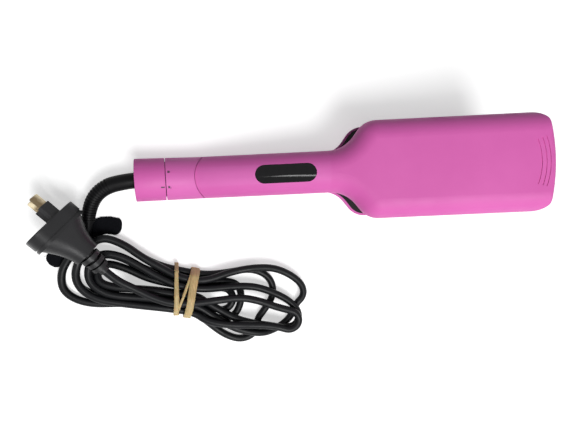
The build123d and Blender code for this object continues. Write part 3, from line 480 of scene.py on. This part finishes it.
# Right, the longest loop: it dips under the others at its end
hank_points += [
    (22.0, -12.6, MID), (37.0, -17.2, MID), (50.0, -18.4, MID), (63.0, -17.2, 7.8), (72.5, -13.2, 4.0),
    (80.0, -6.0, LOW), (83.5, 1.5, LOW), (84.0, 10.0, LOW), (88.0, 18.5, 5.0), (83.0, 27.0, 7.6),
    (71.0, 32.0, MID), (57.0, 33.6, MID), (43.0, 30.0, MID), (27.0, 22.8, MID),
]
hank_points += [(9.0, 10.2, MID + LIFT), (-9.0, 8.8, MID + LIFT)]
# Left, outer loop of the middle level
hank_points += [
    (-22.0, 11.8, MID), (-37.0, 15.6, MID), (-54.0, 22.2, MID), (-69.5, 22.6, MID), (-77.5, 7.5, MID),
    (-77.5, -11.0, MID), (-62.0, -20.8, MID), (-36.0, -18.4, MID),
]
hank_points += waist(-S3, MID, 1)
# Right, over the others and back along the middle to the plug
hank_points += [
    (19.0, -16.8, 12.6), (34.0, -15.4, TOP), (49.0, -12.2, TOP), (62.0, -9.2, TOP), (73.0, -8.2, TOP),
    (81.5, -8.6, TOP), (86.6, -4.2, TOP), (86.6, 1.8, TOP), (82.0, 6.0, TOP), (74.0, 6.1, TOP),
    (64.0, 6.2, TOP), (53.0, 7.4, TOP), (38.0, 6.6, TOP), (22.0, 0.4, TOP),
    (8.0, -5.0, TOP + LIFT), (-8.0, -9.4, TOP + LIFT),
    (-22.0, -8.8, TOP + LIFT), (-38.0, -5.0, TOP + LIFT + 0.8),
]

# Where the guard and the plug's relief end
GUARD_END = (-33.2, -28.0, 7.4)
RELIEF_END = (-22.9, -60.4, 19.4)
cord_points = [GUARD_END, (-34.8, -37.0, 5.6)]
cord_points += [on_hank(*point) for point in hank_points]
cord_points += [(-16.5, -67.8, 17.9), RELIEF_END]


def make_cord():
    data = bpy.data.curves.new("mains_cord", "CURVE")
    data.dimensions = "3D"
    spline = data.splines.new("NURBS")
    spline.points.add(len(cord_points) - 1)
    for point, (x, y, z) in zip(spline.points, cord_points):
        point.co = (x * MM - LENGTH / 2, y * MM, z * MM, 1.0)
    spline.order_u = 3
    spline.use_endpoint_u = True
    spline.resolution_u = 8
    data.bevel_depth = CORD_D / 2
    data.bevel_resolution = 5
    data.use_fill_caps = True
    data.materials.append(cord_skin)
    obj = bpy.data.objects.new("mains_cord", data)
    bpy.context.scene.collection.objects.link(obj)
    return obj


mains_cord = make_cord()
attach(mains_cord, "cord_set")
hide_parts("cord_tube", "cord_hank", "plug_lead")


# Rubber band: three stretched turns that hug the strands, the first under the other two
BAND_OUTLINE = [
    (-16.9, 1.45, 2.0), (-16.9, 11.8, 3.0), (-12.4, 18.2, 3.0), (-3.0, 18.2, 4.0),
    (12.8, 12.6, 3.0), (16.9, 5.4, 2.0), (16.9, 1.45, 1.6),
]
BAND_THICK = 0.5
BAND_REACH = 17.4
OVER_FIRST = BAND_THICK + 0.08
# Section of a turn: share of its width, and of its thickness
BAND_SECTION = [(-0.5, 0.0), (-0.42, 1.0), (0.0, 1.12), (0.42, 1.0), (0.5, 0.0), (0.0, 0.0)]


def rounded_outline(corners, grow, steps=6):
    """Points round a closed outline whose corners are arcs, grown outwards."""
    count = len(corners)
    points = []
    for i, (y, z, radius) in enumerate(corners):
        here = Vector((y, z))
        before = (Vector(corners[i - 1][:2]) - here).normalized()
        after = (Vector(corners[(i + 1) % count][:2]) - here).normalized()
        half = before.angle(after) / 2
        inward = (before + after).normalized()
        centre = here + inward * (radius / sin(half))
        start = (here + before * (radius / tan(half)) - centre).normalized()
        end = (here + after * (radius / tan(half)) - centre).normalized()
        for step in range(steps + 1):
            share = step / steps
            out = start.slerp(end, share)
            points.append((centre + out * (radius + grow), out))
    return points


def band_turn(top, bottom, wide_top, wide_bottom, grow, seed):
    """Vertices and faces of one turn between two points along and across the hank."""
    run = top[0] - bottom[0]
    rise = top[1] - bottom[1]
    lean = sqrt(run ** 2 + rise ** 2) / abs(rise)
    along = Vector((run, rise)).normalized()
    side = Vector((along.y, -along.x))
    middle = Vector(((top[0] + bottom[0]) / 2, (top[1] + bottom[1]) / 2))
    outline = rounded_outline(BAND_OUTLINE, grow)
    count = len(outline)
    ring = len(BAND_SECTION)
    vertices = []
    faces = []
    for i, (place, out) in enumerate(outline):
        share = min(1.0, max(0.0, (place.x + BAND_REACH) / (2 * BAND_REACH)))
        wide = wide_bottom + (wide_top - wide_bottom) * share
        wide += 0.18 * sin(seed + 2.1 * i) + 0.12 * sin(2.0 * seed + 0.7 * i)
        shift = 0.15 * sin(seed * 3.0 + 1.3 * i)
        for across, lift in BAND_SECTION:
            spot = place + out * (lift * BAND_THICK)
            plan = middle + along * (spot.x * lean) + side * (across * wide + shift)
            vertices.append(tuple(value * MM for value in on_hank(plan.x, plan.y, spot.y)))
        for k in range(ring):
            here, nearby = ring * i, ring * ((i + 1) % count)
            faces.append((here + k, here + (k + 1) % ring, nearby + (k + 1) % ring, nearby + k))
    return vertices, faces


def mesh_piece(name, parts, material):
    """One object made of several lists of vertices and faces, moved to the body's middle."""
    vertices = []
    faces = []
    for part_vertices, part_faces in parts:
        base = len(vertices)
        vertices += [(x - LENGTH / 2, y, z) for x, y, z in part_vertices]
        faces += [tuple(base + index for index in face) for face in part_faces]
    mesh = bpy.data.meshes.new(name)
    mesh.from_pydata(vertices, [], faces)
    shaped = bmesh.new()
    shaped.from_mesh(mesh)
    bmesh.ops.recalc_face_normals(shaped, faces=shaped.faces)
    shaped.to_mesh(mesh)
    shaped.free()
    mesh.shade_smooth()
    mesh.materials.append(material)
    obj = bpy.data.objects.new(name, mesh)
    bpy.context.scene.collection.objects.link(obj)
    return obj


band = mesh_piece("rubber_band_turns", [
    band_turn((-1.5, 17.0), (-4.0, -17.0), 1.8, 2.0, 0.0, 0.7),
    band_turn((-13.5, 17.0), (-3.6, -17.0), 2.8, 4.0, OVER_FIRST, 1.9),
    band_turn((0.8, 17.0), (4.2, -17.0), 6.2, 5.4, OVER_FIRST, 4.1),
], cream)
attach(band, "cord_set")
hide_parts("rubber_band")

# Strap: a soft hook-and-loop strip that lies under the plug
STRAP_LINE = [(-61.0, -55.5), (-49.0, -44.5), (-36.5, -35.4), (-24.0, -30.6), (-12.2, -33.0)]
STRAP_HALF = 6.3
STRAP_THICK = 1.15
STRAP_REST = 0.12
# Rounding of the strap's ends, reckoned on this nominal length
STRAP_NOMINAL = 60.0
STRAP_ROUND = 6.6


def strap_place(share):
    """Point and heading on the strap's middle line, a curve through its points."""
    spans = len(STRAP_LINE) - 1
    span = min(spans - 1, int(share * spans))
    t = share * spans - span
    picked = [STRAP_LINE[max(0, min(spans, span + k))] for k in (-1, 0, 1, 2)]
    a, b, c, d = (Vector(point) for point in picked)
    place = 0.5 * (2 * b + (c - a) * t + (2 * a - 5 * b + 4 * c - d) * t * t
                   + (3 * b - a - 3 * c + d) * t * t * t)
    heading = 0.5 * ((c - a) + 2 * (2 * a - 5 * b + 4 * c - d) * t + 3 * (3 * b - a - 3 * c + d) * t * t)
    return place, heading.normalized()


def strap_rows():
    """Closed rings of the strap's section from one rounded end to the other."""
    rows = 64
    ring = 20
    vertices = []
    faces = []
    for i in range(rows + 1):
        share = i / rows
        place, heading = strap_place(share)
        side = Vector((-heading.y, heading.x))
        end = min(share, 1.0 - share) * STRAP_NOMINAL
        half = STRAP_HALF * sqrt(max(0.02, 1.0 - max(0.0, 1.0 - end / STRAP_ROUND) ** 2))
        half += 0.22 * sin(1.7 * i) * sin(0.61 * i + 1.0)
        for k in range(ring):
            angle = 2 * pi * k / ring
            flat = abs(cos(angle)) ** 0.55 * (1 if cos(angle) > 0 else -1)
            high = abs(sin(angle)) ** 0.7 * (1 if sin(angle) > 0 else -1)
            spot = place + side * (half * flat)
            rise = STRAP_REST + STRAP_THICK / 2 * (1 + high) + 0.05 * sin(0.9 * i + 3.0 * flat)
            vertices.append((spot.x * MM, spot.y * MM, rise * MM))
        if i < rows:
            for k in range(ring):
                here, nearby = ring * i, ring * (i + 1)
                faces.append((here + k, here + (k + 1) % ring, nearby + (k + 1) % ring, nearby + k))
    faces.append(tuple(range(ring)))
    faces.append(tuple(ring * rows + k for k in range(ring)))
    return vertices, faces


def fabric_black():
    """Black looped fabric: fine pile and grey lint."""
    shader = Shader("strap_fabric")
    pile = shader.noise(1900.0, 4.0, 0.7)
    lint = shader.noise(420.0, 5.0, 0.7)
    base = shader.ramp(pile, [(0.35, srgb(8, 9, 12)), (0.75, srgb(24, 25, 30))])
    shader.colour(shader.mix(shader.blend_range(lint, 0.66, 0.80, 0.0, 0.4), base, srgb(70, 72, 80)))
    shader.roughness(shader.blend_range(pile, 0.3, 0.7, 0.85, 1.0))
    shader.bump(pile, 0.9, 0.0004)
    shader.set(Specular_IOR_Level=0.08)
    return shader.material


def fuzz_hairs(material, count=520):
    """Short fibres that stand out of the strap's edges and top."""
    data = bpy.data.curves.new("strap_fuzz", "CURVE")
    data.dimensions = "3D"
    pick = random.Random(7)
    for _ in range(count):
        place, heading = strap_place(pick.uniform(0.03, 0.97))
        side = Vector((-heading.y, heading.x)) * pick.choice((-1, 1))
        reach = STRAP_HALF * (1.0 if pick.random() < 0.6 else pick.random())
        start = place + side * (reach - 0.4)
        bend = side * pick.uniform(0.2, 0.6) + heading * pick.uniform(-0.5, 0.5)
        rise = pick.uniform(0.5, 1.1)
        spline = data.splines.new("POLY")
        spline.points.add(2)
        for point, share in zip(spline.points, (0.0, 0.6, 1.0)):
            spot = start + bend * (1.2 * share)
            high = rise + 0.35 * share * (1.0 - share) * 4.0
            point.co = (spot.x * MM - LENGTH / 2, spot.y * MM, high * MM, 1.0)
    data.bevel_depth = 0.05 * MM
    data.bevel_resolution = 1
    data.materials.append(material)
    obj = bpy.data.objects.new("strap_fuzz", data)
    bpy.context.scene.collection.objects.link(obj)
    return obj


fabric = fabric_black()
strap = mesh_piece("cord_strap_fabric", [strap_rows()], fabric)
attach(strap, "cord_set")
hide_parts("cord_strap")
fuzz = fuzz_hairs(fabric)
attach(fuzz, "cord_set")

bpy.context.view_layer.update()
